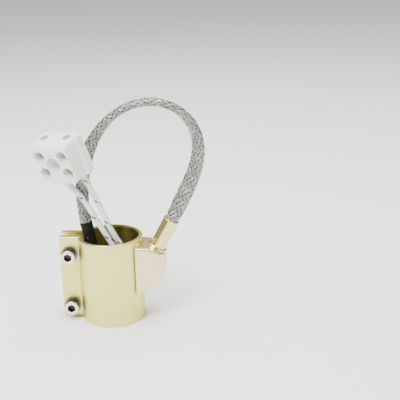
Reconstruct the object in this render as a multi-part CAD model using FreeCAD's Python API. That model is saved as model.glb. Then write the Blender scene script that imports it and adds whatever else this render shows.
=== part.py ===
import FreeCAD, Part
import os
import math

# Band heater for a nozzle or small barrel: a split brass band with clamp ears, a stamped
# terminal hood with an inclined ferrule, a braided hose holding two leads, a shrink sleeve
# on the hose end and a two-pole ceramic terminal block.
# Frame: Z along the bore, origin at the bottom centre of the bore, clamp ears towards -X,
# terminal hood towards +X. Millimetres.

V = FreeCAD.Vector

# ---- driving dimensions -------------------------------------------------------------
BORE_R = 14.0            # inner radius of the closed band
BAND_R = 15.75           # outer radius of the outer sheath
BAND_H = 42.6            # height of the band
SHEET = 0.8              # sheath thickness
LIP_R = 14.15            # inner radius of the rolled-in lips
LINER_T = 0.45           # inner sleeve thickness
GAP_Y0, GAP_Y1 = -0.2, 4.8     # faces of the split, between the ear lips
EAR_Y0, EAR_Y1 = -2.9, 7.5     # outer faces of the front and the rear ear
EAR_X = -25.0            # outer end of the ears
EAR_LIP = 2.7            # depth of the returned lip along the top and bottom of an ear

SCREW_X = -20.36         # clamp screw axis
SCREW_Z = (6.3, 33.4)    # lower and upper clamp screw
SCREW_D = 4.0            # M4
SCREW_LEN = 16.0
HEAD_D, HEAD_H = 7.0, 4.0
HEX_AF = 3.0
WASHER_D, WASHER_T = 8.6, 0.6
NUT_AF, NUT_H = 7.0, 3.2

HOOD_T = 0.7             # hood sheet thickness
HOOD_CY = -0.8           # middle of the hood across its width
FER_BASE = V(23.2, -1.3, 37.0)     # ferrule axis, base and mouth
FER_TOP = V(30.8, -1.3, 51.1)
FER_D, FER_ID = 8.0, 5.8
COLLAR_D, COLLAR_H = 9.8, 1.1

HOSE_D = 5.6             # braided hose, round equivalent of its oval section
HOSE_ID = 4.6
CORE_LEAD_D, CORE_LEAD_Y = 2.2, 1.15   # the two leads inside the hose
HOSE_START = 4.5         # length of hose inside the ferrule
# hose route: ferrule, up and over, down behind the block, into the shrink sleeve
HOSE_PTS = [
    (28.665, -1.3, 47.139), (33.789, -1.3, 56.646), (38.6, -1.2, 66.5), (43.1, -1.1, 76.9),
    (44.9, -1.0, 87.9), (42.1, -0.8, 98.3), (34.2, -0.5, 106.1), (23.0, -0.1, 109.3),
    (11.3, 0.6, 106.8), (1.2, 1.7, 99.8), (-6.2, 3.0, 90.2), (-10.6, 3.9, 80.1),
    (-12.6, 4.2, 70.5), (-13.2, 3.7, 61.7), (-12.6, 2.9, 52.6), (-11.1, 2.25, 42.7),
    (-9.2, 1.7, 33.0),
]
SLEEVE_TOP = (-12.02, 2.65, 48.8)
SLEEVE_END = (-7.75, 1.28, 25.6)
SLEEVE_D, SLEEVE_ID = 6.7, 6.1

LEAD_D = 2.8             # insulated lead
LEAD_L_PTS = [
    (-9.82, 0.44, 32.82), (-8.4, 0.0, 24.6), (-7.0, -0.6, 16.2), (-2.7, -2.2, 10.2),
    (4.2, -4.5, 9.3), (9.6, -6.1, 14.3), (10.6, -6.3, 21.9), (7.9, -5.8, 28.7),
    (3.6, -4.7, 35.4), (-1.0, -3.7, 43.3), (-5.6, -2.7, 51.1), (-10.1, -1.7, 59.0),
    (-14.6, -0.7, 64.9), (-19.2, 1.2, 68.7), (-22.4, 2.5, 72.0), (-23.64, 1.35, 76.0),
]
LEAD_R_PTS = [
    (-8.52, 2.97, 32.9), (-7.1, 2.5, 24.6), (-5.7, 2.0, 16.2), (-1.4, 0.5, 10.2),
    (5.5, -1.7, 9.3), (10.9, -3.4, 14.3), (11.9, -3.5, 21.9), (10.3, -3.3, 29.0),
    (6.9, -3.1, 36.0), (2.7, -4.0, 43.5), (-0.6, -4.2, 51.0), (-3.6, -4.0, 58.6),
    (-6.6, -3.7, 65.4), (-9.3, -3.4, 71.7), (-11.93, -4.58, 77.4),
]
CORE_D = 1.8             # bare stranded end of a lead

# ceramic block: own axes U (along the wires), W (across the poles), N (out of the screw face)
BLK_C = V(-22.87, -10.54, 81.23)
BLK_U = V(0.2402, 0.2353, -0.9418)
BLK_W = V(0.8858, -0.4519, 0.1130)
BLK_L = 20.4             # length along the wires
BLK_W_TOP, BLK_W_STEP, BLK_W_BASE = 20.2, 21.0, 23.6
BLK_T, BLK_BASE_T = 12.6, 4.4
POLE, PITCH = 13.2, 8.8  # pole spacing, screw spacing along a pole
WIRE_N = -8.3            # wire channel axis below the screw face
WIRE_D = 4.4
WELL_D, CBORE_D, CBORE_DEEP, FIX_D = 5.8, 8.0, 5.0, 4.2
BAR_W, BAR_H, BAR_L, BAR_N = 6.4, 6.0, 14.4, -5.2
TS_D, TS_HEAD_D, TS_HEAD_H, TS_HEAD_N = 3.0, 4.8, 1.6, -3.5

os.makedirs("parts", exist_ok=True)


def save(name, shape):
    if not isinstance(shape, Part.Solid) and len(shape.Solids) == 1:
        shape = shape.Solids[0]
    bb = shape.BoundBox
    print("%-26s solids %2d valid %s vol %9.2f  x %.2f..%.2f y %.2f..%.2f z %.2f..%.2f" % (
        name, len(shape.Solids), shape.isValid(), shape.Volume,
        bb.XMin, bb.XMax, bb.YMin, bb.YMax, bb.ZMin, bb.ZMax))
    shape.exportStep("parts/%s.step" % name)


def cyl(r, h, base, axis=V(0, 0, 1)):
    return Part.makeCylinder(r, h, base, axis)


def box(x0, x1, y0, y1, z0, z1):
    return Part.makeBox(x1 - x0, y1 - y0, z1 - z0, V(x0, y0, z0))


def ring(r0, r1, z0, z1):
    return cyl(r1, z1 - z0, V(0, 0, z0)).cut(cyl(r0, z1 - z0 + 2, V(0, 0, z0 - 1)))


def route(points, label, d, quiet=False):
    """Straight runs joined by tangent arcs of radius 0.45 x shorter run / tan(half turn)."""
    p = [V(*q) if not isinstance(q, FreeCAD.Vector) else q for q in points]
    edges = []
    at = p[0]
    length = 0.0
    rad = []
    for i in range(1, len(p) - 1):
        a, b = p[i] - p[i - 1], p[i + 1] - p[i]
        la, lb = a.Length, b.Length
        a = a * (1 / la)
        b = b * (1 / lb)
        turn = a.getAngle(b)
        t = 0.45 * min(la, lb)
        r = t / math.tan(turn / 2)
        rad.append(r)
        s, e = p[i] - a * t, p[i] + b * t
        bis = b - a
        bis = bis * (1 / bis.Length)
        c = p[i] + bis * (r / math.cos(turn / 2))
        m = c - bis * r
        edges.append(Part.LineSegment(at, s).toShape())
        edges.append(Part.Arc(s, m, e).toShape())
        length += (s - at).Length + r * turn
        at = e
    edges.append(Part.LineSegment(at, p[-1]).toShape())
    length += (p[-1] - at).Length
    w = Part.Wire(edges)
    if not quiet:
        print("%s radii mm: %s (dia %.1f, smallest %.1f dia), length %.1f" % (
            label, " ".join("%.1f" % r for r in rad), d, min(rad) / d, length))
    return w, length, (p[1] - p[0]), p[0]


def tube(points, d, label):
    w, length, n, at = route(points, label, d)
    c = Part.Wire([Part.makeCircle(d / 2, at, n)])
    s = w.makePipeShell([c], True, False, 2)
    if isinstance(s, Part.Shape) and not s.Solids:
        s = Part.Solid(Part.Shell(s.Faces))
    ideal = math.pi * d * d / 4 * length
    print("   volume %.2f, section x length %.2f" % (s.Volume, ideal))
    return s


# ---- outer sheath -------------------------------------------------------------------
def gap_cut(z0, z1, y0, y1, r=BAND_R + 1):
    return box(-r, 0, y0, y1, z0, z1)


wall = ring(BAND_R - SHEET, BAND_R, 0, BAND_H).cut(gap_cut(-1, BAND_H + 1, EAR_Y0 + SHEET, EAR_Y1 - SHEET))
lips = ring(LIP_R, BAND_R, 0, SHEET).fuse(ring(LIP_R, BAND_R, BAND_H - SHEET, BAND_H))
lips = lips.cut(gap_cut(-1, BAND_H + 1, GAP_Y0, GAP_Y1))
xi = -14.9
ear_f = box(EAR_X, xi, EAR_Y0, EAR_Y0 + SHEET, 0, BAND_H)
ear_r = box(EAR_X, xi + 1.2, EAR_Y1 - SHEET, EAR_Y1, 0, BAND_H)
parts = [wall, lips, ear_f, ear_r]
for z0 in (0, BAND_H - SHEET):
    parts.append(box(EAR_X, -14.2, EAR_Y0, GAP_Y0, z0, z0 + SHEET))
    parts.append(box(EAR_X, -13.4, GAP_Y1, EAR_Y1, z0, z0 + SHEET))
sheath = parts[0]
for q in parts[1:]:
    sheath = sheath.fuse(q)
sheath = sheath.removeSplitter()


def pick(shape, test):
    return [e for e in shape.Edges if test(e)]


def on_outer(e, z):
    b = e.BoundBox
    if abs(b.ZMin - z) > 1e-3 or abs(b.ZMax - z) > 1e-3:
        return False
    m = e.valueAt((e.FirstParameter + e.LastParameter) / 2)
    r = math.hypot(m.x, m.y)
    if abs(r - BAND_R) < 1e-2:
        return True
    return abs(m.y - EAR_Y0) < 1e-3 or abs(m.y - EAR_Y1) < 1e-3


for rad in (0.55, 0.4, 0.3):
    try:
        es = pick(sheath, lambda e: on_outer(e, BAND_H) or on_outer(e, 0))
        f = sheath.makeFillet(rad, es)
        if f.isValid() and f.Solids:
            sheath = f
            print("rim fillet", rad, len(es))
            break
    except Exception as x:
        print("rim fillet failed", rad, x)

# crease where each ear leaves the barrel
cr_f = box(-15.75, -15.3, EAR_Y0 - 1, EAR_Y0 + 0.35, 1.0, BAND_H - 1.0)
cr_r = box(-14.15, -13.7, EAR_Y1 - 0.35, EAR_Y1 + 1, 1.0, BAND_H - 1.0)
sheath = sheath.cut(cr_f).cut(cr_r)
# clearance holes for the clamp screws
for z in SCREW_Z:
    sheath = sheath.cut(cyl(2.25, 20, V(SCREW_X, -8, z), V(0, 1, 0)))
# window under the hood for the contact pins
sheath = sheath.cut(box(10, 20, HOOD_CY - 4.6, HOOD_CY + 4.6, 20, 30.5))
save("outer_sheath", sheath)


def split_ring(r0, r1, z0, z1, y0=GAP_Y0 - 0.1, y1=GAP_Y1 + 0.1):
    return ring(r0, r1, z0, z1).cut(gap_cut(z0 - 1, z1 + 1, y0, y1))


r0 = BORE_R
liner = split_ring(r0, r0 + LINER_T, SHEET, BAND_H - SHEET)
save("inner_sleeve", liner)
zi0, zi1 = 1.3, BAND_H - 1.3
WIN = box(10, 20, HOOD_CY - 5.0, HOOD_CY + 5.0, 20, 33)
mica_in = split_ring(r0 + LINER_T, r0 + LINER_T + 0.08, zi0, zi1)
save("inner_mica_sheet", mica_in)
RIBBON_T = 0.14
ra = r0 + LINER_T + 0.08
core = split_ring(ra + 0.02, ra + 0.12, zi0 + 0.6, zi1 - 0.6)
save("mica_winding_core", core)
rb = ra + 0.12
strips = []
nst = 9
for i in range(nst):
    z = 4.0 + i * (BAND_H - 8.0 - 2.0) / (nst - 1)
    strips.append(split_ring(rb, rb + RIBBON_T, z, z + 2.0, GAP_Y0 - 1.2, GAP_Y1 + 1.2))
links = []
for i in range(nst - 1):
    z = 4.0 + i * (BAND_H - 8.0 - 2.0) / (nst - 1)
    z2 = 4.0 + (i + 1) * (BAND_H - 8.0 - 2.0) / (nst - 1)
    sg = 1 if i % 2 == 0 else -1
    a0, a1 = (150.0, 156.0) if sg > 0 else (190.0, 196.0)
    seg = ring(rb, rb + RIBBON_T, z + 1.0, z2 + 1.0)
    a0r, a1r = math.radians(a0), math.radians(a1)
    f = Part.Face(Part.makePolygon([V(0, 0, z + 1), V(40 * math.cos(a0r), 40 * math.sin(a0r), z + 1),
                                    V(40 * math.cos(a1r), 40 * math.sin(a1r), z + 1), V(0, 0, z + 1)]))
    links.append(seg.common(f.extrude(V(0, 0, z2 - z))))
ribbon = strips[0]
for q in strips[1:] + links:
    ribbon = ribbon.fuse(q)
save("heating_ribbon", ribbon)
mica_out = split_ring(rb + RIBBON_T, BAND_R - SHEET, zi0, zi1).cut(WIN)
save("outer_mica_sheet", mica_out)

# ---- clamp screws, washers, nuts ------------------------------------------------------
for name, z in zip(("lower", "upper"), SCREW_Z):
    y_face = EAR_Y0 - WASHER_T
    sh = cyl(SCREW_D / 2, SCREW_LEN, V(SCREW_X, y_face, z), V(0, 1, 0))
    hd = cyl(HEAD_D / 2, HEAD_H, V(SCREW_X, y_face - HEAD_H, z), V(0, 1, 0))
    hd = hd.makeFillet(0.35, [e for e in hd.Edges if abs(e.BoundBox.YMin - (y_face - HEAD_H)) < 1e-3
                              and abs(e.BoundBox.YMax - (y_face - HEAD_H)) < 1e-3])
    # knurl: straight flutes round the head
    for k in range(24):
        a = 2 * math.pi * k / 24
        hd = hd.cut(cyl(0.22, HEAD_H - 0.5, V(SCREW_X + 3.58 * math.cos(a), y_face - HEAD_H + 0.45,
                                              z + 3.58 * math.sin(a)), V(0, 1, 0)))
    pts = []
    for k in range(7):
        a = math.radians(60 * k + 30)
        rr = HEX_AF / 2 / math.cos(math.radians(30)) * 1.25
        pts.append(V(SCREW_X + rr * math.cos(a), y_face - HEAD_H - 0.1, z + rr * math.sin(a)))
    hexa = Part.Face(Part.makePolygon(pts)).extrude(V(0, 2.3, 0))
    scr = hd.cut(hexa).fuse(sh).removeSplitter()
    tip = [e for e in scr.Edges if abs(e.BoundBox.YMin - (y_face + SCREW_LEN)) < 1e-3]
    try:
        scr = scr.makeChamfer(0.4, tip)
    except Exception as x:
        print("tip chamfer", x)
    save("clamp_screw_%s" % name, scr)
    wa = cyl(WASHER_D / 2, WASHER_T, V(SCREW_X, EAR_Y0 - WASHER_T, z), V(0, 1, 0)).cut(
        cyl(2.15, 2, V(SCREW_X, EAR_Y0 - 1.3, z), V(0, 1, 0)))
    save("clamp_washer_%s" % name, wa)
    pts = []
    for k in range(7):
        a = math.radians(60 * k)
        rr = NUT_AF / 2 / math.cos(math.radians(30))
        pts.append(V(SCREW_X + rr * math.cos(a), EAR_Y1, z + rr * math.sin(a)))
    nut = Part.Face(Part.makePolygon(pts)).extrude(V(0, NUT_H, 0))
    cone = Part.makeCone(NUT_AF / 2 * 1.02, NUT_AF / 2 * 1.02 + NUT_H + 1, NUT_H + 1, V(SCREW_X, EAR_Y1 + NUT_H, z), V(0, -1, 0))
    nut = nut.common(cone).cut(cyl(SCREW_D / 2 + 0.05, 10, V(SCREW_X, EAR_Y1 - 1, z), V(0, 1, 0)))
    save("clamp_nut_%s" % name, nut)

# ---- terminal hood ---------------------------------------------------------------------
PROFILE = [(13.0, 38.9), (19.6, 38.5), (26.3, 34.9), (27.3, 33.2), (27.3, 23.9), (24.6, 20.5),
           (20.6, 17.6), (15.9, 15.6), (13.0, 15.0)]
PLAN = [(8.0, -11.0), (12.3, -10.35), (24.2, -8.8), (27.3, -4.0), (27.3, 2.4), (24.2, 7.2),
        (12.3, 8.75), (8.0, 9.4)]


def prism_xz(pts, y0, y1):
    w = Part.makePolygon([V(x, y0, z) for x, z in pts] + [V(pts[0][0], y0, pts[0][1])])
    return Part.Face(w).extrude(V(0, y1 - y0, 0))


def prism_xy(pts, z0, z1):
    w = Part.makePolygon([V(x, y, z0) for x, y in pts] + [V(pts[0][0], pts[0][1], z0)])
    return Part.Face(w).extrude(V(0, 0, z1 - z0))


def inset(pts, t):
    """Offsets a convex outline inwards by t, except its first and last side towards the barrel."""
    out = []
    n = len(pts)
    cx = sum(p[0] for p in pts) / n
    cy = sum(p[1] for p in pts) / n
    lines = []
    for i in range(n):
        a, b = pts[i], pts[(i + 1) % n]
        dx, dy = b[0] - a[0], b[1] - a[1]
        l = math.hypot(dx, dy)
        nx, ny = dy / l, -dx / l
        if (cx - a[0]) * nx + (cy - a[1]) * ny < 0:
            nx, ny = -nx, -ny
        lines.append((a[0] + nx * t, a[1] + ny * t, dx, dy))
    for i in range(n):
        x1, y1, dx1, dy1 = lines[i - 1]
        x2, y2, dx2, dy2 = lines[i]
        det = dx1 * dy2 - dy1 * dx2
        s = ((x2 - x1) * dy2 - (y2 - y1) * dx2) / det
        out.append((x1 + s * dx1, y1 + s * dy1))
    return out


outer = prism_xz(PROFILE, -14, 12).common(prism_xy(PLAN, 10, 42))
inner = prism_xz(inset(PROFILE, HOOD_T), -14, 12).common(prism_xy(inset(PLAN, HOOD_T), 10, 42))
hood_edges = []
for e in outer.Edges:
    b = e.BoundBox
    if b.XMin > 12.6 or (b.XMax - b.XMin) > 3:
        if not (abs(b.XMin - 13.0) < 1e-3 and abs(b.XMax - 13.0) < 1e-3):
            hood_edges.append(e)
for rad in (1.1, 0.8, 0.5, 0.3):
    try:
        f = outer.makeFillet(rad, hood_edges)
        if f.isValid() and f.Solids:
            outer = f
            print("hood fillet", rad)
            break
    except Exception as x:
        print("hood fillet failed", rad, str(x)[:60])
hood = outer.cut(inner.fuse(box(9, 16, HOOD_CY - 8.6, HOOD_CY + 8.6, 16.6, 38.0)))
hood = hood.cut(cyl(BAND_R, 60, V(0, 0, -5)))
hood = hood.cut(box(-30, 10.5, -30, 30, 0, 60))
ax = FER_TOP - FER_BASE
ax = ax * (1 / ax.Length)
fer_len = (FER_TOP - FER_BASE).Length
hood = hood.cut(cyl(FER_D / 2, fer_len + 4, FER_BASE - ax * 3, ax))
# folded seam under the front of the top flap
hood = hood.cut(box(13.4, 20.4, -12.0, -9.9, 36.15, 36.5))
if len(hood.Solids) > 1:
    hood = max(hood.Solids, key=lambda s: s.Volume)
save("terminal_hood", hood)

# top of the hood under the ferrule is square to the ferrule, so the collar sits flat on it
n_top = V(26.3 - 19.6, 0, 34.9 - 38.5)
n_top = V(-n_top.z, 0, n_top.x)
n_top = n_top * (1 / n_top.Length)
d0 = (V(19.6, 0, 38.5) - FER_BASE).dot(n_top) / ax.dot(n_top)
c0 = FER_BASE + ax * d0          # where the axis meets the top face
print("axis meets the hood top at", c0, "tilt between axis and face normal %.2f deg" % math.degrees(ax.getAngle(n_top)))
ferrule = cyl(FER_D / 2, fer_len + 1.9 - d0 + 0.0, c0 - ax * 1.9, ax)
ferrule = ferrule.cut(cyl(FER_ID / 2, 40, c0 - ax * 6, ax))
top_edges = [e for e in ferrule.Edges if (e.CenterOfMass - FER_TOP).Length < 0.05]
try:
    ferrule = ferrule.makeFillet(0.3, top_edges)
except Exception as x:
    print("ferrule fillet", x)
save("ferrule", ferrule)
collar = cyl(COLLAR_D / 2, COLLAR_H + 1.0, c0 - ax * 1.0, ax).cut(cyl(FER_D / 2, 10, c0 - ax * 4, ax))
collar = collar.cut(hood)
collar = max(collar.Solids, key=lambda s: s.Volume)
keep = cyl(COLLAR_D / 2 + 1, 6, c0 - n_top * 0.0, n_top)
collar = collar.common(keep)
collar = max(collar.Solids, key=lambda s: s.Volume)
ce = [e for e in collar.Edges if (e.CenterOfMass - (c0 + ax * COLLAR_H)).Length < 0.05 and e.Length > math.pi * COLLAR_D * 0.95]
try:
    collar = collar.makeFillet(0.5, ce)
except Exception as x:
    print("collar fillet", x)
save("ferrule_collar", collar)

# ---- contact pins, beads, crimps and lead tails in the hood ------------------------------
PIN_Z = 24.5
pins, beads, crimps, tails = [], [], [], []
for s in (-1, 1):
    y = HOOD_CY + s * 2.3
    pins.append(cyl(0.8, 19.6 - 15.0, V(15.0, y, PIN_Z), V(1, 0, 0)))
    beads.append(cyl(1.9, 2.6, V(15.2, y, PIN_Z), V(1, 0, 0)).cut(cyl(0.85, 6, V(14, y, PIN_Z), V(1, 0, 0))))
    crimps.append(cyl(1.25, 5.0, V(20.85, y, PIN_Z - 1.2), V(0, 0, 1)))
pin_n = pins[0].fuse(pins[1])
save("contact_pins", Part.makeCompound(pins))
save("ceramic_beads", Part.makeCompound(beads))
save("lead_crimps", Part.makeCompound(crimps))
for s in (-1, 1):
    y = HOOD_CY + s * 2.3
    end = c0 + ax * (fer_len - d0 - HOSE_START)
    yo = CORE_LEAD_Y * s
    p = [V(20.85, y, PIN_Z - 1.2 + 5.0), V(20.85, y, PIN_Z + 7.0),
         (c0 - ax * 3.0) + V(0, yo, 0), end + V(0, yo, 0)]
    tails.append(tube(p, CORE_LEAD_D, "lead tail"))
save("lead_tails", Part.makeCompound(tails))

# ---- hose, sleeve, leads -----------------------------------------------------------------
hose = tube(HOSE_PTS, HOSE_D, "hose").cut(tube(HOSE_PTS, HOSE_ID, "hose bore"))
save("braided_hose", hose)
runs = []
for s in (-1, 1):
    runs.append(tube([(q[0], q[1] + s * CORE_LEAD_Y, q[2]) for q in HOSE_PTS], CORE_LEAD_D, "lead in the hose"))
save("hose_leads", Part.makeCompound(runs))
a, b = V(*SLEEVE_TOP), V(*SLEEVE_END)
n = b - a
sl = cyl(SLEEVE_D / 2, n.Length, a, n).cut(cyl(SLEEVE_ID / 2, n.Length + 2, a - n * (1 / n.Length), n))
save("shrink_sleeve", sl)
lead_l = tube(LEAD_L_PTS, LEAD_D, "left lead")
lead_r = tube(LEAD_R_PTS, LEAD_D, "right lead")
save("lead_left", lead_l)
save("lead_right", lead_r)

# ---- ceramic terminal block ----------------------------------------------------------------
U = BLK_U * (1 / BLK_U.Length)
Wv = BLK_W - U * BLK_W.dot(U)
Wv = Wv * (1 / Wv.Length)
N = U.cross(Wv)
M = FreeCAD.Matrix(U.x, Wv.x, N.x, BLK_C.x, U.y, Wv.y, N.y, BLK_C.y, U.z, Wv.z, N.z, BLK_C.z, 0, 0, 0, 1)
print("block N", N)


def place(s):
    return s.transformed(M)


# local frame: x = U, y = W, z = N, screw face at z = 0
def loft_box(l0, w0, z0, l1, w1, z1, r):
    def rect(l, w, z):
        b_ = Part.makePolygon([V(-l / 2, -w / 2, z), V(l / 2, -w / 2, z), V(l / 2, w / 2, z),
                               V(-l / 2, w / 2, z), V(-l / 2, -w / 2, z)])
        return b_
    s = Part.makeLoft([rect(l0, w0, z0), rect(l1, w1, z1)], True, True)
    es = [e for e in s.Edges if e.BoundBox.ZLength > abs(z1 - z0) * 0.9]
    return s.makeFillet(r, es)


body = loft_box(BLK_L, BLK_W_TOP, 0, BLK_L, BLK_W_STEP, -(BLK_T - BLK_BASE_T), 2.2)
try:
    body = body.makeFillet(0.6, [e for e in body.Edges if abs(e.BoundBox.ZMin) < 1e-3 and abs(e.BoundBox.ZMax) < 1e-3])
except Exception as x:
    print("block top fillet", x)
base = loft_box(BLK_L + 0.4, BLK_W_BASE, -(BLK_T - BLK_BASE_T), BLK_L + 0.4, BLK_W_BASE, -BLK_T, 1.6)
try:
    base = base.makeFillet(0.5, [e for e in base.Edges if abs(e.BoundBox.ZMin + BLK_T - BLK_BASE_T) < 1e-3
                                 and abs(e.BoundBox.ZMax + BLK_T - BLK_BASE_T) < 1e-3])
except Exception as x:
    print("base fillet", x)
blk = body.fuse(base).removeSplitter()
screws_at = []
for sy, side in ((-1, "left"), (1, "right")):
    y = sy * POLE / 2
    blk = blk.cut(cyl(WIRE_D / 2, BLK_L + 6, V(-BLK_L / 2 - 3, y, WIRE_N), V(1, 0, 0)))
    blk = blk.cut(box(-BAR_L / 2 - 0.15, BAR_L / 2 + 0.15, y - BAR_W / 2 - 0.15, y + BAR_W / 2 + 0.15,
                      -BLK_T - 1, BAR_N + 0.05))
    for sx, end in ((-1, "out"), (1, "in")):
        x = sx * PITCH / 2
        blk = blk.cut(cyl(WELL_D / 2, 8, V(x, y, BAR_N - 0.5), V(0, 0, 1)))
        screws_at.append((side, end, x, y))
blk = blk.cut(cyl(CBORE_D / 2, 10, V(0, 0, -CBORE_DEEP), V(0, 0, 1)))
blk = blk.cut(cyl(FIX_D / 2, 30, V(0, 0, -20), V(0, 0, 1)))
save("ceramic_block", place(blk))
for sy, side in ((-1, "left"), (1, "right")):
    y = sy * POLE / 2
    bar = box(-BAR_L / 2, BAR_L / 2, y - BAR_W / 2, y + BAR_W / 2, BAR_N - BAR_H, BAR_N)
    bar = bar.cut(cyl(1.6, BAR_L + 4, V(-BAR_L / 2 - 2, y, WIRE_N), V(1, 0, 0)))
    for sx in (-1, 1):
        bar = bar.cut(cyl(TS_D / 2 + 0.05, 4, V(sx * PITCH / 2, y, WIRE_N), V(0, 0, 1)))
    save("terminal_bar_%s" % side, place(bar))
for side, end, x, y in screws_at:
    head = cyl(TS_HEAD_D / 2, TS_HEAD_H, V(x, y, TS_HEAD_N - TS_HEAD_H), V(0, 0, 1))
    head = head.makeFillet(0.3, [e for e in head.Edges if abs(e.BoundBox.ZMin - TS_HEAD_N) < 1e-3])
    head = head.cut(box(x - 3, x + 3, y - 0.35, y + 0.35, TS_HEAD_N - 0.8, TS_HEAD_N + 1))
    tip_n = WIRE_N + 1.0 if end == "in" else WIRE_N + 1.3
    shank = cyl(TS_D / 2, (TS_HEAD_N - TS_HEAD_H) - tip_n, V(x, y, tip_n), V(0, 0, 1))
    save("terminal_screw_%s_%s" % (side, end), place(head.fuse(shank).removeSplitter()))
# bare ends of the leads in the terminal bars
cores = []
for sy in (-1, 1):
    y = sy * POLE / 2
    c = cyl(CORE_D / 2, 7.6, V(0.1, y, WIRE_N), V(1, 0, 0))
    cores.append(place(c))
trim = lead_l.fuse(lead_r)
cores = [c.cut(trim) for c in cores]
save("lead_bare_ends", Part.makeCompound([max(c.Solids, key=lambda s: s.Volume) for c in cores]))
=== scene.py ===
import math

import bpy
import numpy as np
from mathutils import Matrix, Vector


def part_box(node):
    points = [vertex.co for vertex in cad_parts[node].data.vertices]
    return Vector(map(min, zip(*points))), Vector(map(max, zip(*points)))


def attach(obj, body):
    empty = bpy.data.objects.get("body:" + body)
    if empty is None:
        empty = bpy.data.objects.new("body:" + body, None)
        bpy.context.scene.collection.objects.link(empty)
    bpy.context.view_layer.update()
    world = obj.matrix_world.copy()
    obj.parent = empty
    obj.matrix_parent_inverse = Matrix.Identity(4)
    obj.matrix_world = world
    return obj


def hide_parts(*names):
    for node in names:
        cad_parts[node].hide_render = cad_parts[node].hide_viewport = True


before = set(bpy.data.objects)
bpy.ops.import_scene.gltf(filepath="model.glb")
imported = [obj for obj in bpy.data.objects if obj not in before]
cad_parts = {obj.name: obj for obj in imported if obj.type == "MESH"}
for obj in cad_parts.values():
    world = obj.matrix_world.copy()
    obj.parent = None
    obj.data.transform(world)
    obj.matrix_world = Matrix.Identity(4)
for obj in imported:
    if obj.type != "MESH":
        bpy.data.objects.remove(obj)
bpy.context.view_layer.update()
MM = 0.001


def v3(p):
    return np.array(p, dtype=float)


# ------------------------------------------------------------------ camera
CAM_AT = v3((60.411, -366.465, 181.020))
CAM_R = v3((0.99912128, 0.03616940, -0.02117656))
CAM_U = v3((0.00878412, 0.31332949, 0.94960385))
CAM_F = v3((-0.04098184, 0.94895543, -0.31273645))
cam_data = bpy.data.cameras.new("camera")
cam_data.sensor_fit = "HORIZONTAL"
cam_data.sensor_width = 36.0
cam_data.lens = 71.994
cam_data.clip_start = 0.01
cam_data.clip_end = 50.0
cam = bpy.data.objects.new("camera", cam_data)
bpy.context.scene.collection.objects.link(cam)
rot = Matrix((
    (CAM_R[0], CAM_U[0], -CAM_F[0]),
    (CAM_R[1], CAM_U[1], -CAM_F[1]),
    (CAM_R[2], CAM_U[2], -CAM_F[2])))
cam.matrix_world = Matrix.Translation(Vector(CAM_AT * MM)) @ rot.to_4x4()
bpy.context.scene.camera = cam


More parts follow.
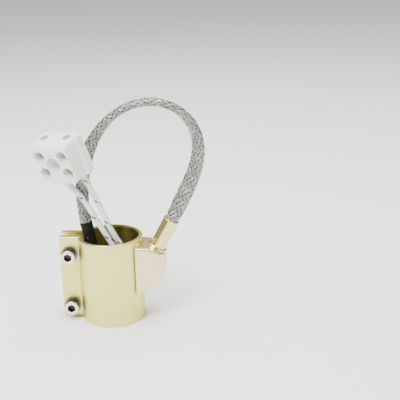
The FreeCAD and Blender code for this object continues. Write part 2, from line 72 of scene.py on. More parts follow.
# ------------------------------------------------------------------ node helpers
class Mat:
    """A small wrapper that keeps node trees readable."""

    def __init__(self, name, base, metallic=0.0, rough=0.5, spec=0.5, ior=1.5, **more):
        self.m = bpy.data.materials.new(name)
        self.m.use_nodes = True
        self.m.diffuse_color = (*base, 1.0)
        self.t = self.m.node_tree
        self.t.nodes.clear()
        self.out = self.t.nodes.new("ShaderNodeOutputMaterial")
        self.b = self.t.nodes.new("ShaderNodeBsdfPrincipled")
        self.t.links.new(self.b.outputs["BSDF"], self.out.inputs["Surface"])
        self.b.inputs["Base Color"].default_value = (*base, 1.0)
        self.b.inputs["Metallic"].default_value = metallic
        self.b.inputs["Roughness"].default_value = rough
        self.b.inputs["Specular IOR Level"].default_value = spec
        self.b.inputs["IOR"].default_value = ior
        for k, v in more.items():
            self.b.inputs[k].default_value = v
        self.tc = None

    def node(self, kind, **inputs):
        n = self.t.nodes.new(kind)
        for k, v in inputs.items():
            if k.startswith("p_"):
                setattr(n, k[2:], v)
                continue
            key = k.replace("_", " ")
            if k.startswith("i"):
                try:
                    key = int(k[1:])
                except ValueError:
                    pass
            if hasattr(v, "is_linked") or isinstance(v, bpy.types.NodeSocket):
                self.t.links.new(v, n.inputs[key])
            else:
                n.inputs[key].default_value = v
        return n

    def coords(self, kind="Object"):
        if self.tc is None:
            self.tc = self.t.nodes.new("ShaderNodeTexCoord")
        return self.tc.outputs[kind]

    def mapped(self, scale=(1, 1, 1), kind="Object", rot=(0, 0, 0), loc=(0, 0, 0)):
        n = self.node("ShaderNodeMapping", Vector=self.coords(kind))
        n.inputs["Scale"].default_value = scale
        n.inputs["Rotation"].default_value = rot
        n.inputs["Location"].default_value = loc
        return n.outputs["Vector"]

    def noise(self, scale, detail=3.0, rough=0.5, vec=None, distortion=0.0):
        n = self.node("ShaderNodeTexNoise", Scale=scale, Detail=detail, Roughness=rough,
                      Distortion=distortion, Vector=vec if vec is not None else self.coords())
        return n.outputs["Fac"]

    def wave(self, scale, vec, direction="X", distortion=0.0):
        n = self.node("ShaderNodeTexWave", Scale=scale, Distortion=distortion, Vector=vec)
        n.bands_direction = direction
        return n.outputs["Fac"]

    def math(self, op, a, b=0.0, c=0.0, clamp=False):
        n = self.t.nodes.new("ShaderNodeMath")
        n.operation = op
        n.use_clamp = clamp
        for i, v in enumerate((a, b, c)):
            if isinstance(v, bpy.types.NodeSocket):
                self.t.links.new(v, n.inputs[i])
            else:
                n.inputs[i].default_value = v
        return n.outputs[0]

    def ramp(self, fac, stops):
        n = self.node("ShaderNodeValToRGB", Fac=fac)
        e = n.color_ramp.elements
        while len(e) < len(stops):
            e.new(0.5)
        for i, (p, col) in enumerate(stops):
            e[i].position = p
            e[i].color = (*col, 1.0) if len(col) == 3 else col
        return n.outputs["Color"]

    def rng(self, fac, a, b, c, d):
        n = self.node("ShaderNodeMapRange")
        self.t.links.new(fac, n.inputs["Value"])
        n.inputs["From Min"].default_value = a
        n.inputs["From Max"].default_value = b
        n.inputs["To Min"].default_value = c
        n.inputs["To Max"].default_value = d
        return n.outputs["Result"]

    def mix(self, fac, a, b):
        n = self.t.nodes.new("ShaderNodeMix")
        n.data_type = "RGBA"
        for sock, v in ((n.inputs[0], fac), (n.inputs[6], a), (n.inputs[7], b)):
            if isinstance(v, bpy.types.NodeSocket):
                self.t.links.new(v, sock)
            elif isinstance(v, (int, float)):
                sock.default_value = v
            else:
                sock.default_value = (*v, 1.0) if len(v) == 3 else v
        return n.outputs[2]

    def color(self, s):
        self.t.links.new(s, self.b.inputs["Base Color"])

    def rough(self, s):
        self.t.links.new(s, self.b.inputs["Roughness"])

    def metal(self, s):
        self.t.links.new(s, self.b.inputs["Metallic"])

    def bump(self, height, strength=0.2, distance=0.0001, chain=None):
        n = self.t.nodes.new("ShaderNodeBump")
        n.inputs["Strength"].default_value = strength
        n.inputs["Distance"].default_value = distance
        self.t.links.new(height, n.inputs["Height"])
        if chain is not None:
            self.t.links.new(chain, n.inputs["Normal"])
        self.t.links.new(n.outputs["Normal"], self.b.inputs["Normal"])
        return n.outputs["Normal"]


def brass(name, base, dark, rough=0.36, grain=(1, 1, 60)):
    m = Mat(name, base, metallic=1.0, rough=rough)
    # rolled sheet: fine grain running round the band and faint mottling
    g = m.noise(900.0, 4.0, 0.6, m.mapped(grain))
    mot = m.noise(55.0, 3.0, 0.55)
    fine = m.noise(2600.0, 2.0, 0.5)
    c = m.mix(m.rng(mot, 0.35, 0.7, 0.0, 0.35), base, dark)
    c = m.mix(m.rng(g, 0.4, 0.6, 0.0, 0.10), c, tuple(min(1.0, k * 1.10) for k in base))
    m.color(c)
    m.rough(m.rng(m.math("ADD", m.math("MULTIPLY", g, 0.6), m.math("MULTIPLY", mot, 0.4)), 0.3, 0.7, rough - 0.05, rough + 0.07))
    n = m.bump(fine, 0.10, 0.00004)
    m.bump(g, 0.12, 0.00004, n)
    return m.m


def steel(name, base, rough=0.25, dark=None, fine=1500.0, strength=0.1):
    m = Mat(name, base, metallic=1.0, rough=rough)
    g = m.noise(fine, 3.0, 0.6)
    mot = m.noise(180.0, 3.0, 0.6)
    dk = dark or tuple(k * 0.72 for k in base)
    m.color(m.mix(m.rng(mot, 0.4, 0.75, 0.0, 0.5), base, dk))
    m.rough(m.rng(g, 0.3, 0.7, rough - 0.05, rough + 0.08))
    m.bump(g, strength, 0.00004)
    return m.m


MAT = {}
MAT["sheath"] = brass("sheath_brass", (0.78, 0.715, 0.235), (0.64, 0.575, 0.165), 0.33)
MAT["hood"] = brass("hood_brass", (0.84, 0.735, 0.40), (0.74, 0.63, 0.30), 0.36, (1, 1, 1))
# the bore's brass lining gets a far darker brass colour: painted shade inside the bore
MAT["liner"] = brass("liner_brass", (0.30, 0.25, 0.085), (0.20, 0.165, 0.055), 0.42)
MAT["ferrule"] = brass("ferrule_brass", (0.80, 0.725, 0.32), (0.62, 0.55, 0.20), 0.17, (30, 30, 1))
MAT["screw"] = steel("plated_screw", (0.80, 0.79, 0.76), 0.22)


def screw_material(name, z0):
    m = Mat(name, (0.80, 0.79, 0.76), metallic=1.0, rough=0.2)
    sep = m.node("ShaderNodeSeparateXYZ", Vector=m.coords())
    dx = m.math("SUBTRACT", sep.outputs["X"], -0.02036)
    dz = m.math("SUBTRACT", sep.outputs["Z"], z0)
    r = m.math("SQRT", m.math("ADD", m.math("MULTIPLY", dx, dx), m.math("MULTIPLY", dz, dz)))
    y = sep.outputs["Y"]
    # hex socket painted near black and made less metallic: painted shade in the recess
    socket_painted_shade = m.math("MULTIPLY", m.math("LESS_THAN", r, 0.00222), m.math("GREATER_THAN", y, -0.00747))
    # the side of the head is painted dark brown: painted shade and reflection on the head's side
    side = m.math("MULTIPLY", m.math("GREATER_THAN", r, 0.00322), m.math("GREATER_THAN", y, -0.00708))
    g = m.noise(1500.0, 3.0, 0.6)
    lit = m.mix(m.rng(g, 0.35, 0.7, 0.0, 0.5), (0.86, 0.84, 0.80), (0.66, 0.64, 0.60))
    c = m.mix(side, lit, (0.20, 0.18, 0.135))
    c = m.mix(socket_painted_shade, c, (0.035, 0.022, 0.014))
    m.color(c)
    m.rough(m.rng(g, 0.3, 0.7, 0.16, 0.27))
    m.metal(m.math("SUBTRACT", 1.0, m.math("MULTIPLY", socket_painted_shade, 0.8)))
    m.bump(g, 0.1, 0.00004)
    return m.m


MAT["screw_upper"] = screw_material("plated_screw_upper", 0.0334)
MAT["screw_lower"] = screw_material("plated_screw_lower", 0.0063)
# the plated washers get a dark colour: painted shadow under the screw heads
MAT["washer"] = steel("plated_washer", (0.30, 0.28, 0.23), 0.3)
MAT["nut"] = steel("plated_nut", (0.70, 0.69, 0.66), 0.26)
MAT["nickel"] = steel("nickel_parts", (0.66, 0.63, 0.56), 0.28)
MAT["wire"] = steel("bare_wire", (0.72, 0.69, 0.62), 0.3, strength=0.4)
MAT["tbrass"] = brass("terminal_brass", (0.72, 0.58, 0.30), (0.58, 0.45, 0.22), 0.33)
MAT["tscrew"] = steel("terminal_screw", (0.52, 0.47, 0.38), 0.3)


def ceramic(name):
    m = Mat(name, (0.86, 0.855, 0.83), rough=0.42, spec=0.45)
    big = m.noise(120.0, 3.0, 0.5)
    grain = m.noise(1900.0, 3.0, 0.6)
    specks = m.node("ShaderNodeTexVoronoi", Scale=420.0, Vector=m.coords()).outputs["Distance"]
    c = m.mix(m.rng(big, 0.35, 0.7, 0.0, 1.0), (0.89, 0.885, 0.865), (0.82, 0.815, 0.785))
    c = m.mix(m.rng(specks, 0.0, 0.06, 0.35, 0.0), c, (0.60, 0.58, 0.52))
    m.color(c)
    m.rough(m.rng(grain, 0.3, 0.7, 0.34, 0.52))
    n = m.bump(grain, 0.18, 0.00005)
    m.bump(big, 0.25, 0.0003, n)
    return m.m


MAT["ceramic"] = ceramic("steatite")


def mica(name):
    m = Mat(name, (0.55, 0.50, 0.40), rough=0.5)
    lay = m.noise(260.0, 4.0, 0.6, m.mapped((1, 1, 5)))
    m.color(m.mix(m.rng(lay, 0.3, 0.7, 0.0, 1.0), (0.62, 0.57, 0.46), (0.40, 0.35, 0.26)))
    m.rough(m.rng(lay, 0.3, 0.7, 0.35, 0.6))
    m.bump(lay, 0.3, 0.0001)
    return m.m


MAT["mica"] = mica("mica_flake")

# ------------------------------------------------------------------ CAD nodes keep their shape
NODE_MAT = {
    "outer_sheath": "sheath", "terminal_hood": "hood", "inner_sleeve": "liner",
    "ferrule": "ferrule", "ferrule_collar": "ferrule",
    "clamp_screw_upper": "screw_upper", "clamp_screw_lower": "screw_lower",
    "clamp_washer_upper": "washer", "clamp_washer_lower": "washer",
    "clamp_nut_upper": "nut", "clamp_nut_lower": "nut",
    "contact_pins": "nickel", "lead_crimps": "nickel", "heating_ribbon": "nickel",
    "ceramic_beads": "ceramic", "ceramic_block": "ceramic",
    "inner_mica_sheet": "mica", "mica_winding_core": "mica", "outer_mica_sheet": "mica",
    "terminal_bar_left": "tbrass", "terminal_bar_right": "tbrass",
    "terminal_screw_left_out": "tscrew", "terminal_screw_left_in": "tscrew",
    "terminal_screw_right_out": "tscrew", "terminal_screw_right_in": "tscrew",
    "lead_bare_ends": "wire",
}
for node, key in NODE_MAT.items():
    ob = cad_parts[node]
    ob.data.materials.clear()
    ob.data.materials.append(MAT[key])


# ------------------------------------------------------------------ cords
HOSE_ROUTE = [
    (28.665, -1.3, 47.139), (33.789, -1.3, 56.646), (38.6, -1.2, 66.5), (43.1, -1.1, 76.9),
    (44.9, -1.0, 87.9), (42.1, -0.8, 98.3), (34.2, -0.5, 106.1), (23.0, -0.1, 109.3),
    (11.3, 0.6, 106.8), (1.2, 1.7, 99.8), (-6.2, 3.0, 90.2), (-10.6, 3.9, 80.1),
    (-12.6, 4.2, 70.5), (-13.2, 3.7, 61.7), (-12.6, 2.9, 52.6), (-11.1, 2.25, 42.7),
    (-9.2, 1.7, 33.0)]
LEAD_L_ROUTE = [
    (-9.82, 0.44, 32.82), (-8.4, 0.0, 24.6), (-7.0, -0.6, 16.2), (-2.7, -2.2, 10.2),
    (4.2, -4.5, 9.3), (9.6, -6.1, 14.3), (10.6, -6.3, 21.9), (7.9, -5.8, 28.7),
    (3.6, -4.7, 35.4), (-1.0, -3.7, 43.3), (-5.6, -2.7, 51.1), (-10.1, -1.7, 59.0),
    (-14.6, -0.7, 64.9), (-19.2, 1.2, 68.7), (-22.4, 2.5, 72.0), (-23.64, 1.35, 76.0)]
LEAD_R_ROUTE = [
    (-8.52, 2.97, 32.9), (-7.1, 2.5, 24.6), (-5.7, 2.0, 16.2), (-1.4, 0.5, 10.2),
    (5.5, -1.7, 9.3), (10.9, -3.4, 14.3), (11.9, -3.5, 21.9), (10.3, -3.3, 29.0),
    (6.9, -3.1, 36.0), (2.7, -4.0, 43.5), (-0.6, -4.2, 51.0), (-3.6, -4.0, 58.6),
    (-6.6, -3.7, 65.4), (-9.3, -3.4, 71.7), (-11.93, -4.58, 77.4)]


def route_line(name, pts):
    """The smooth line of a cord: a NURBS spline with the route's points as its control points, in metres."""
    cu = bpy.data.curves.new(name, "CURVE")
    cu.dimensions = "3D"
    sp = cu.splines.new("NURBS")
    sp.points.add(len(pts) - 1)
    for q, p in zip(sp.points, pts):
        q.co = (p[0] * MM, p[1] * MM, p[2] * MM, 1.0)
    sp.order_u = 3
    sp.use_endpoint_u = True
    sp.resolution_u = 24
    ob = bpy.data.objects.new(name, cu)
    bpy.context.scene.collection.objects.link(ob)
    dg = bpy.context.evaluated_depsgraph_get()
    me = bpy.data.meshes.new_from_object(ob.evaluated_get(dg))
    out = np.array([v.co[:] for v in me.vertices])
    bpy.data.meshes.remove(me)
    bpy.data.objects.remove(ob)
    keep = [0]
    for i in range(1, len(out)):
        if np.linalg.norm(out[i] - out[keep[-1]]) > 1e-7:
            keep.append(i)
    return out[keep]


class Line:
    """Arc-length access to a smooth line: point, tangent."""

    def __init__(self, pts):
        self.p = pts
        d = np.linalg.norm(np.diff(pts, axis=0), axis=1)
        self.s = np.concatenate([[0.0], np.cumsum(d)])
        self.length = float(self.s[-1])
        t = np.gradient(pts, self.s, axis=0)
        self.t = t / np.linalg.norm(t, axis=1)[:, None]

    def at(self, s):
        s = np.clip(np.atleast_1d(s), 0.0, self.length)
        p = np.stack([np.interp(s, self.s, self.p[:, k]) for k in range(3)], axis=1)
        t = np.stack([np.interp(s, self.s, self.t[:, k]) for k in range(3)], axis=1)
        return p, t / np.linalg.norm(t, axis=1)[:, None]


def carried_frame(line, s, first):
    """Frames carried along the line without twist. first is a rough direction for the first normal."""
    p, t = line.at(s)
    n = np.zeros_like(p)
    a = v3(first)
    a = a - t[0] * (a @ t[0])
    a /= np.linalg.norm(a)
    for i in range(len(s)):
        a = a - t[i] * (a @ t[i])
        a /= np.linalg.norm(a)
        n[i] = a
    return p, t, n, np.cross(t, n)


def mesh_object(name, verts, faces, mat, uvs=None, smooth=True):
    me = bpy.data.meshes.new(name)
    me.from_pydata([tuple(v) for v in verts], [], [tuple(f) for f in faces])
    if uvs is not None:
        lay = me.uv_layers.new(name="UVMap")
        flat = np.array([uvs[l.vertex_index] for l in me.loops], dtype=np.float32)
        lay.data.foreach_set("uv", flat.ravel())
    me.materials.append(mat)
    if smooth:
        me.polygons.foreach_set("use_smooth", [True] * len(me.polygons))
    me.update()
    ob = bpy.data.objects.new(name, me)
    bpy.context.scene.collection.objects.link(ob)
    return ob


def grid_tube(name, rings, mat, uvs=None, cap=True):
    """rings: (n, m, 3). Each ring has its seam vertex twice when uvs are given, so the uv runs on."""
    n, m, _ = rings.shape
    verts = rings.reshape(-1, 3)
    faces = []
    for i in range(n - 1):
        for j in range(m - 1):
            a = i * m + j
            faces.append((a, a + 1, a + m + 1, a + m))
    vs = [tuple(v) for v in verts]
    uv = None if uvs is None else [tuple(u) for u in uvs.reshape(-1, 2)]
    if cap:
        for i, flip in ((0, True), (n - 1, False)):
            c = rings[i][:-1].mean(axis=0)
            vs.append(tuple(c))
            if uv is not None:
                uv.append(tuple(uvs[i].mean(axis=0)))
            k = len(vs) - 1
            for j in range(m - 1):
                a, b = i * m + j, i * m + j + 1
                faces.append((b, a, k) if flip else (a, b, k))
    ob = mesh_object(name, vs, faces, mat, uv)
    # the seam's doubled vertices are joined, the uv stays per corner
    import bmesh
    bm = bmesh.new()
    bm.from_mesh(ob.data)
    bmesh.ops.remove_doubles(bm, verts=bm.verts, dist=1e-7)
    bmesh.ops.recalc_face_normals(bm, faces=bm.faces)
    bm.to_mesh(ob.data)
    bm.free()
    return ob


# ---- leads: woven glass sleeving with a black tracer thread
def lead_material(name):
    m = Mat(name, (0.80, 0.795, 0.775), rough=0.62, spec=0.35)
    uv = m.coords("UV")
    sep = m.node("ShaderNodeSeparateXYZ", Vector=uv)
    u, v = sep.outputs["X"], sep.outputs["Y"]          # u turns, v millimetres
    # two families of threads
    a = m.math("SINE", m.math("MULTIPLY", m.math("ADD", m.math("MULTIPLY", u, 12.0), m.math("MULTIPLY", v, 1.36)), 2 * math.pi))
    b = m.math("SINE", m.math("MULTIPLY", m.math("SUBTRACT", m.math("MULTIPLY", u, 12.0), m.math("MULTIPLY", v, 1.36)), 2 * math.pi))
    weave = m.math("MAXIMUM", a, b)
    h = m.rng(weave, -1.0, 1.0, 0.0, 1.0)
    soil = m.noise(220.0, 3.0, 0.55)
    fuzz = m.noise(5200.0, 2.0, 0.6)
    c = m.mix(m.rng(soil, 0.35, 0.7, 0.0, 1.0), (0.83, 0.83, 0.815), (0.70, 0.69, 0.665))
    # valleys between the threads are painted darker: painted shade in the weave
    c = m.mix(m.rng(h, 0.0, 0.9, 0.4, 0.0), c, (0.36, 0.35, 0.33))
    # tracer: one turn in 11.4 mm, over and under the other threads
    ph = m.math("FRACT", m.math("ADD", m.math("MULTIPLY", v, 1 / 11.4), m.math("ADD", u, TRACER_PHASE[name])))
    off = m.math("ABSOLUTE", m.math("SUBTRACT", ph, 0.5))
    line_ = m.math("LESS_THAN", off, 0.052)
    dash = m.math("FRACT", m.math("MULTIPLY", u, 4.0))
    on = m.math("LESS_THAN", dash, 0.62)
    mask = m.math("MULTIPLY", line_, on)
    m.color(m.mix(mask, c, (0.012, 0.012, 0.014)))
    m.rough(m.rng(fuzz, 0.3, 0.7, 0.52, 0.75))
    n = m.bump(h, 0.55, 0.00009)
    m.bump(fuzz, 0.2, 0.00004, n)
    return m.m


TRACER_PHASE = {"lead_left_glass": 0.30, "lead_right_glass": 0.62}


def lead(name, route, first, matname, dia=2.8):
    line = Line(route_line(name + "_line", route))
    n = int(line.length / 0.0005)
    s = np.linspace(0, line.length, n + 1)
    p, t, a, b = carried_frame(line, s, first)
    m = 25
    th = np.linspace(0, 2 * math.pi, m)
    r = np.full(n + 1, dia / 2 * MM)
    # softly uneven hand
    wob = 1 + 0.012 * np.sin(s / MM * 0.9) + 0.01 * np.sin(s / MM * 2.3 + 1.0)
    rings = (p[:, None, :] + (a[:, None, :] * np.cos(th)[None, :, None] + b[:, None, :] * np.sin(th)[None, :, None])
             * (r * wob)[:, None, None])
    uv = np.zeros((n + 1, m, 2))
    uv[:, :, 0] = np.linspace(0, 1, m)[None, :]
    uv[:, :, 1] = (s / MM)[:, None]
    ob = grid_tube(name, rings, lead_material(matname), uv)
    return ob, line


lead_l, line_l = lead("left_lead_sleeving", LEAD_L_ROUTE, (0, -1, 0), "lead_left_glass")
lead_r, line_r = lead("right_lead_sleeving", LEAD_R_ROUTE, (0, -1, 0), "lead_right_glass")

# ---- hose: a woven oval sleeve that turns along its length
hose_line = Line(route_line("hose_line", HOSE_ROUTE))
HL = hose_line.length
# which way the wide side of the section points, at stations along the hose (mm, direction)
WIDE = [
    (0, (0.86, -0.15, -0.46)), (22, (0.85, -0.35, -0.40)), (38, (0.70, -0.62, -0.32)), (55, (0.62, -0.78, 0.05)),
    (75, (0.25, -0.95, 0.18)), (92, (0.02, -0.99, 0.10)), (108, (-0.28, -0.86, 0.42)), (122, (-0.60, -0.52, 0.60)),
    (138, (-0.80, -0.45, 0.40)), (152, (-0.72, -0.69, 0.10)), (172, (-0.60, -0.80, 0.0))]
HALF_W = [(0, 2.78), (5.0, 2.85), (8.0, 3.45), (14, 3.75), (30, 3.6), (60, 3.35), (120, 3.45), (140, 3.1), (149, 2.9), (172, 2.75)]
HALF_T = [(0, 2.78), (5.0, 2.75), (8.0, 2.35), (14, 2.05), (30, 1.85), (60, 1.75), (120, 1.75), (140, 1.9), (149, 2.15), (172, 2.4)]


def hose_section(s):
    """Centre, wide and thin half vectors of the section at each s (metres)."""
    p, t = hose_line.at(s)
    st = np.array([w[0] for w in WIDE]) * MM
    dirs = np.array([w[1] for w in WIDE], dtype=float)
    w = np.stack([np.interp(s, st, dirs[:, k]) for k in range(3)], axis=1)
    w = w - t * np.sum(w * t, axis=1)[:, None]
    w /= np.linalg.norm(w, axis=1)[:, None]
    q = np.cross(t, w)
    hw = np.interp(s, [a * MM for a, _ in HALF_W], [b * MM for _, b in HALF_W])
    ht = np.interp(s, [a * MM for a, _ in HALF_T], [b * MM for _, b in HALF_T])
    return p, t, w, q, hw, ht


NS, NU = 1200, 96
S_GRID = np.linspace(0, HL, NS)
_p, _t, _w, _q, _hw, _ht = hose_section(S_GRID)
SURF = np.zeros((NS, NU + 1, 3))
NORM = np.zeros((NS, NU + 1, 3))
PER = np.zeros(NS)
_al = np.linspace(0, 2 * math.pi, 361)
for i in range(NS):
    # a flattened oval: rounder at its edges than an ellipse
    e = 2.25
    ca, sa = np.cos(_al), np.sin(_al)
    x = _hw[i] * np.sign(ca) * np.abs(ca) ** (2 / e)
    y = _ht[i] * np.sign(sa) * np.abs(sa) ** (2 / e)
    seg = np.hypot(np.diff(x), np.diff(y))
    L = np.concatenate([[0], np.cumsum(seg)])
    PER[i] = L[-1]
    k = np.linspace(0, L[-1], NU + 1)
    xx, yy = np.interp(k, L, x), np.interp(k, L, y)
    tx, ty = np.gradient(xx), np.gradient(yy)
    tx[0] = tx[-1] = (xx[1] - xx[-2]) / 2
    ty[0] = ty[-1] = (yy[1] - yy[-2]) / 2
    nx, ny = ty, -tx
    ln = np.hypot(nx, ny)
    nx, ny = nx / ln, ny / ln
    SURF[i] = _p[i] + _w[i] * xx[:, None] + _q[i] * yy[:, None]
    NORM[i] = _w[i] * nx[:, None] + _q[i] * ny[:, None]


def on_hose(s, u):
    """Point and outward normal of the hose's oval skin at arc length s and girth u in turns."""
    fi = np.clip(s / HL * (NS - 1), 0, NS - 1.001)
    i0 = fi.astype(int)
    a = (fi - i0)[..., None]
    fu = np.mod(u, 1.0) * NU
    j0 = np.minimum(fu.astype(int), NU - 1)
    b = (fu - j0)[..., None]

    def look(G):
        return ((G[i0, j0] * (1 - b) + G[i0, j0 + 1] * b) * (1 - a)
                + (G[i0 + 1, j0] * (1 - b) + G[i0 + 1, j0 + 1] * b) * a)
    p, n = look(SURF), look(NORM)
    return p, n / np.linalg.norm(n, axis=-1)[..., None], np.interp(s, S_GRID, PER)


def braid_material(name):
    m = Mat(name, (0.40, 0.40, 0.39), metallic=0.85, rough=0.42)
    uv = m.coords("UV")
    sep = m.node("ShaderNodeSeparateXYZ", Vector=uv)
    u = sep.outputs["X"]
    wires = m.math("SINE", m.math("MULTIPLY", u, 2 * math.pi * 5.0))
    h = m.rng(wires, -1.0, 1.0, 0.0, 1.0)
    soil = m.noise(160.0, 3.0, 0.6)
    c = m.mix(m.rng(soil, 0.35, 0.7, 0.0, 1.0), (0.50, 0.495, 0.46), (0.30, 0.295, 0.27))
    # grooves between the wires are painted near black: painted shade between the wires
    c = m.mix(m.rng(h, 0.0, 0.7, 0.7, 0.0), c, (0.05, 0.05, 0.045))
    m.color(c)
    m.rough(m.rng(soil, 0.3, 0.7, 0.34, 0.5))
    m.bump(h, 0.6, 0.00008)
    return m.m


def core_material(name):
    m = Mat(name, (0.02, 0.02, 0.02), metallic=0.2, rough=0.7)
    g = m.noise(900.0, 3.0, 0.6)
    m.color(m.mix(m.rng(g, 0.3, 0.7, 0.0, 1.0), (0.025, 0.025, 0.022), (0.008, 0.008, 0.008)))
    m.bump(g, 0.4, 0.0001)
    return m.m


CARR, PITCH = 8, 26.0 * MM          # carriers each way, lay of one turn


def strands(name, sign, mat):
    period = 4.0 / (2 * CARR / PITCH)             # one over-under period along the hose
    n = int(HL / (period / 7.0))
    s = np.linspace(0.0, HL, n + 1)
    per = np.interp(s, S_GRID, PER)
    prof = [(-0.5, 0.00), (-0.36, 0.085), (-0.12, 0.12), (0.12, 0.12), (0.36, 0.085), (0.5, 0.00), (0.25, -0.07), (-0.25, -0.07)]
    verts, faces, uvs = [], [], []
    for k in range(CARR):
        U = k / CARR + sign * s / PITCH
        A = CARR * (U - s / PITCH)
        B = CARR * (U + s / PITCH)
        D = B - A
        if sign > 0:
            D = 2 * CARR * s / PITCH + 0.0 * A
            ph = D + 0.0
            hgt = np.cos(2 * math.pi * (np.mod(B - k, 4.0) - 0.5) / 4.0)
        else:
            hgt = -np.cos(2 * math.pi * (np.mod(k - A, 4.0) - 0.5) / 4.0)
        hgt = np.tanh(1.6 * hgt) / math.tanh(1.6)
        slope = per / PITCH                       # girth moved per length
        nrm = np.sqrt(1 + slope ** 2)
        latS, latU = -sign * slope / nrm, 1 / nrm
        width = per / CARR / nrm * 0.74
        base = len(verts)
        cols = []
        for e, hh in prof:
            ds = latS * e * width
            du = latU * e * width / per
            sp_ = np.clip(s + ds, 0, HL)
            P, N, _ = on_hose(sp_, U + du)
            cols.append(P + N * ((hgt * 0.17 + hh) * MM)[:, None] if not np.isscalar(hh) else P + N * (hgt * 0.17 * MM + hh * MM)[:, None])
        cols = np.stack(cols, axis=1)             # (n+1, 8, 3)
        m = len(prof)
        for i in range(n + 1):
            for j in range(m):
                verts.append(cols[i, j])
                uvs.append((prof[j][0] + 0.5, s[i] / MM))
        for i in range(n):
            for j in range(m):
                a = base + i * m + j
                b = base + i * m + (j + 1) % m
                faces.append((a, b, b + m, a + m))
        faces.append(tuple(base + j for j in range(m))[::-1])
        faces.append(tuple(base + n * m + j for j in range(m)))
    return mesh_object(name, verts, faces, mat, uvs)


m_braid = braid_material("woven_wire")
braid_a = strands("hose_braid_right_lay", 1, m_braid)
braid_b = strands("hose_braid_left_lay", -1, m_braid)
# inner tube of the hose, just under the strands
rings = SURF[::8, ::4] - NORM[::8, ::4] * 0.24 * MM
core_ob = grid_tube("hose_inner_tube", rings, core_material("hose_inner"), None)

# ---- shrink sleeve: follows the hose end, pulled in over it at the top
SL_TOP, SL_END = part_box("shrink_sleeve")[1][2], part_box("shrink_sleeve")[0][2]


def sleeve_material(name):
    m = Mat(name, (0.012, 0.012, 0.013), rough=0.55, spec=0.2)
    g = m.noise(700.0, 3.0, 0.6)
    w = m.noise(130.0, 3.0, 0.55, m.mapped((1, 1, 0.35)))
    m.color(m.mix(m.rng(w, 0.35, 0.7, 0.0, 1.0), (0.004, 0.004, 0.004), (0.010, 0.010, 0.0095)))
    m.rough(m.rng(g, 0.3, 0.7, 0.5, 0.68))
    n = m.bump(w, 0.35, 0.0003)
    m.bump(g, 0.15, 0.00005, n)
    return m.m


s_all = np.linspace(0, HL, 800)
z_all = hose_line.at(s_all)[0][:, 2]
tail = s_all > HL * 0.6
s0 = float(np.interp(-(48.6 * MM), -z_all[tail], s_all[tail]))
n = 60
ss = np.linspace(s0, HL, n)
p_, t_, w_, q_, hw_, ht_ = hose_section(ss)
p_end, t_end = hose_line.at([HL])
m_ = 41
th = np.linspace(0, 2 * math.pi, m_)
rings = []
flare = 0.38 + 0.10 * np.exp(-((ss - s0) / (0.9 * MM)) ** 2)
for i in range(n):
    wr = 1 + 0.012 * np.sin(3 * th + i * 0.25) + 0.010 * np.sin(5 * th - i * 0.4)
    x = (hw_[i] + flare[i] * MM) * np.cos(th) * wr
    y = (np.maximum(ht_[i], 2.35 * MM) + flare[i] * MM) * np.sin(th) * wr
    rings.append(p_[i] + w_[i] * x[:, None] + q_[i] * y[:, None])
# over the ends of the two leads
ext = 7.4
for i in range(1, 16):
    f = i / 15
    c = p_end[0] + t_end[0] * ext * f * MM
    wr = 1 + 0.012 * np.sin(3 * th + (n + i) * 0.25)
    x = (hw_[-1] + 0.38 * MM) * np.cos(th) * wr
    y = (2.35 + 0.38) * MM * np.sin(th) * wr
    x, y = x * (1 + 0.06 * f), y * (1 + 0.10 * f)
    rings.append(c + w_[-1] * x[:, None] + q_[-1] * y[:, None])
outer = np.array(rings)
centre = outer.mean(axis=1)[:, None, :]
inner = centre + (outer - centre) * 0.90
shell = np.concatenate([outer, inner[::-1]], axis=0)
shell = np.concatenate([shell, outer[:1]], axis=0)
sleeve = grid_tube("shrink_sleeve_skin", shell, sleeve_material("sleeve_black"), None, cap=False)

for ob in (lead_l, lead_r, braid_a, braid_b, core_ob, sleeve):
    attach(ob, "heater")
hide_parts("lead_left")
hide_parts("lead_right")
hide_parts("braided_hose")
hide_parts("shrink_sleeve")

hidden_leads = []
for k, off in enumerate((-1.15, 1.15)):
    pts = [(x, y + off * 0.78, z) for x, y, z in HOSE_ROUTE]
    ln = Line(route_line("hl%d" % k, pts))
    sN = np.linspace(0, ln.length, 120)
    p, t, a, b = carried_frame(ln, sN, (0, -1, 0))
    th8 = np.linspace(0, 2 * math.pi, 13)
    rr = p[:, None, :] + (a[:, None, :] * np.cos(th8)[None, :, None] + b[:, None, :] * np.sin(th8)[None, :, None]) * 0.9 * MM
    hidden_leads.append((rr, ln))

m_tail = Mat("lead_glass_plain", (0.78, 0.775, 0.755), rough=0.65, spec=0.3)
_g = m_tail.noise(900.0, 3.0, 0.6)
m_tail.color(m_tail.mix(m_tail.rng(_g, 0.3, 0.7, 0.0, 1.0), (0.80, 0.80, 0.78), (0.66, 0.65, 0.62)))
m_tail.bump(_g, 0.4, 0.0001)
for node in ("lead_tails", "hose_leads"):
    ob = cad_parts[node]
    ob.data.materials.clear()
    ob.data.materials.append(m_tail.m)

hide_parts("hose_leads")

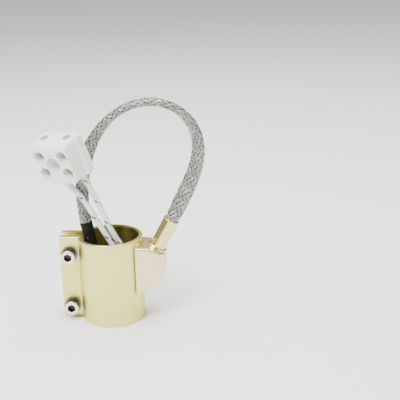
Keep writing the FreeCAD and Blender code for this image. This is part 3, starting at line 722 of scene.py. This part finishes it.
# ------------------------------------------------------------------ floor and light
bpy.ops.mesh.primitive_plane_add(size=12.0, location=(0, 0, 0))
floor = bpy.context.object
floor.name = "floor"
mf = Mat("floor_pale", (0.93, 0.93, 0.93), rough=0.9, spec=0.1)
_f = mf.noise(3.0, 2.0, 0.5)
mf.color(mf.mix(mf.rng(_f, 0.3, 0.7, 0.0, 1.0), (0.935, 0.935, 0.935), (0.925, 0.925, 0.925)))
floor.data.materials.append(mf.m)

world = bpy.data.worlds.new("studio")
bpy.context.scene.world = world
world.use_nodes = True
wt = world.node_tree
bg = wt.nodes["Background"]
wtc = wt.nodes.new("ShaderNodeTexCoord")
wsep = wt.nodes.new("ShaderNodeSeparateXYZ")
wt.links.new(wtc.outputs["Generated"], wsep.inputs["Vector"])
wr = wt.nodes.new("ShaderNodeValToRGB")
wm = wt.nodes.new("ShaderNodeMapRange")
wm.inputs["From Min"].default_value = -0.15
wm.inputs["From Max"].default_value = 1.0
wt.links.new(wsep.outputs["Z"], wm.inputs["Value"])
wt.links.new(wm.outputs["Result"], wr.inputs["Fac"])
for el, (pos, val) in zip((wr.color_ramp.elements[0], wr.color_ramp.elements[1], wr.color_ramp.elements.new(0.35)),
                          ((0.0, 0.30), (1.0, 1.0), (0.35, 0.45))):
    el.position = pos
    el.color = (val, val, val * 0.985, 1.0)
wt.links.new(wr.outputs["Color"], bg.inputs["Color"])
bg.inputs["Strength"].default_value = 0.9


def area(name, at, to, size, power, color=(1, 1, 1), sy=None):
    li = bpy.data.lights.new(name, "AREA")
    li.shape = "RECTANGLE"
    li.size = size
    li.size_y = sy or size
    li.energy = power
    li.color = color
    ob = bpy.data.objects.new(name, li)
    bpy.context.scene.collection.objects.link(ob)
    ob.location = at
    d = Vector(to) - Vector(at)
    ob.rotation_euler = d.to_track_quat("-Z", "Y").to_euler()
    return ob


area("key", (-0.35, -0.55, 0.75), (0, 0, 0.05), 0.40, 14.0)
area("fill", (0.55, -0.45, 0.35), (0, 0, 0.05), 0.25, 1.4)
area("top", (0.0, 0.1, 0.9), (0, 0, 0.05), 0.7, 14.0)
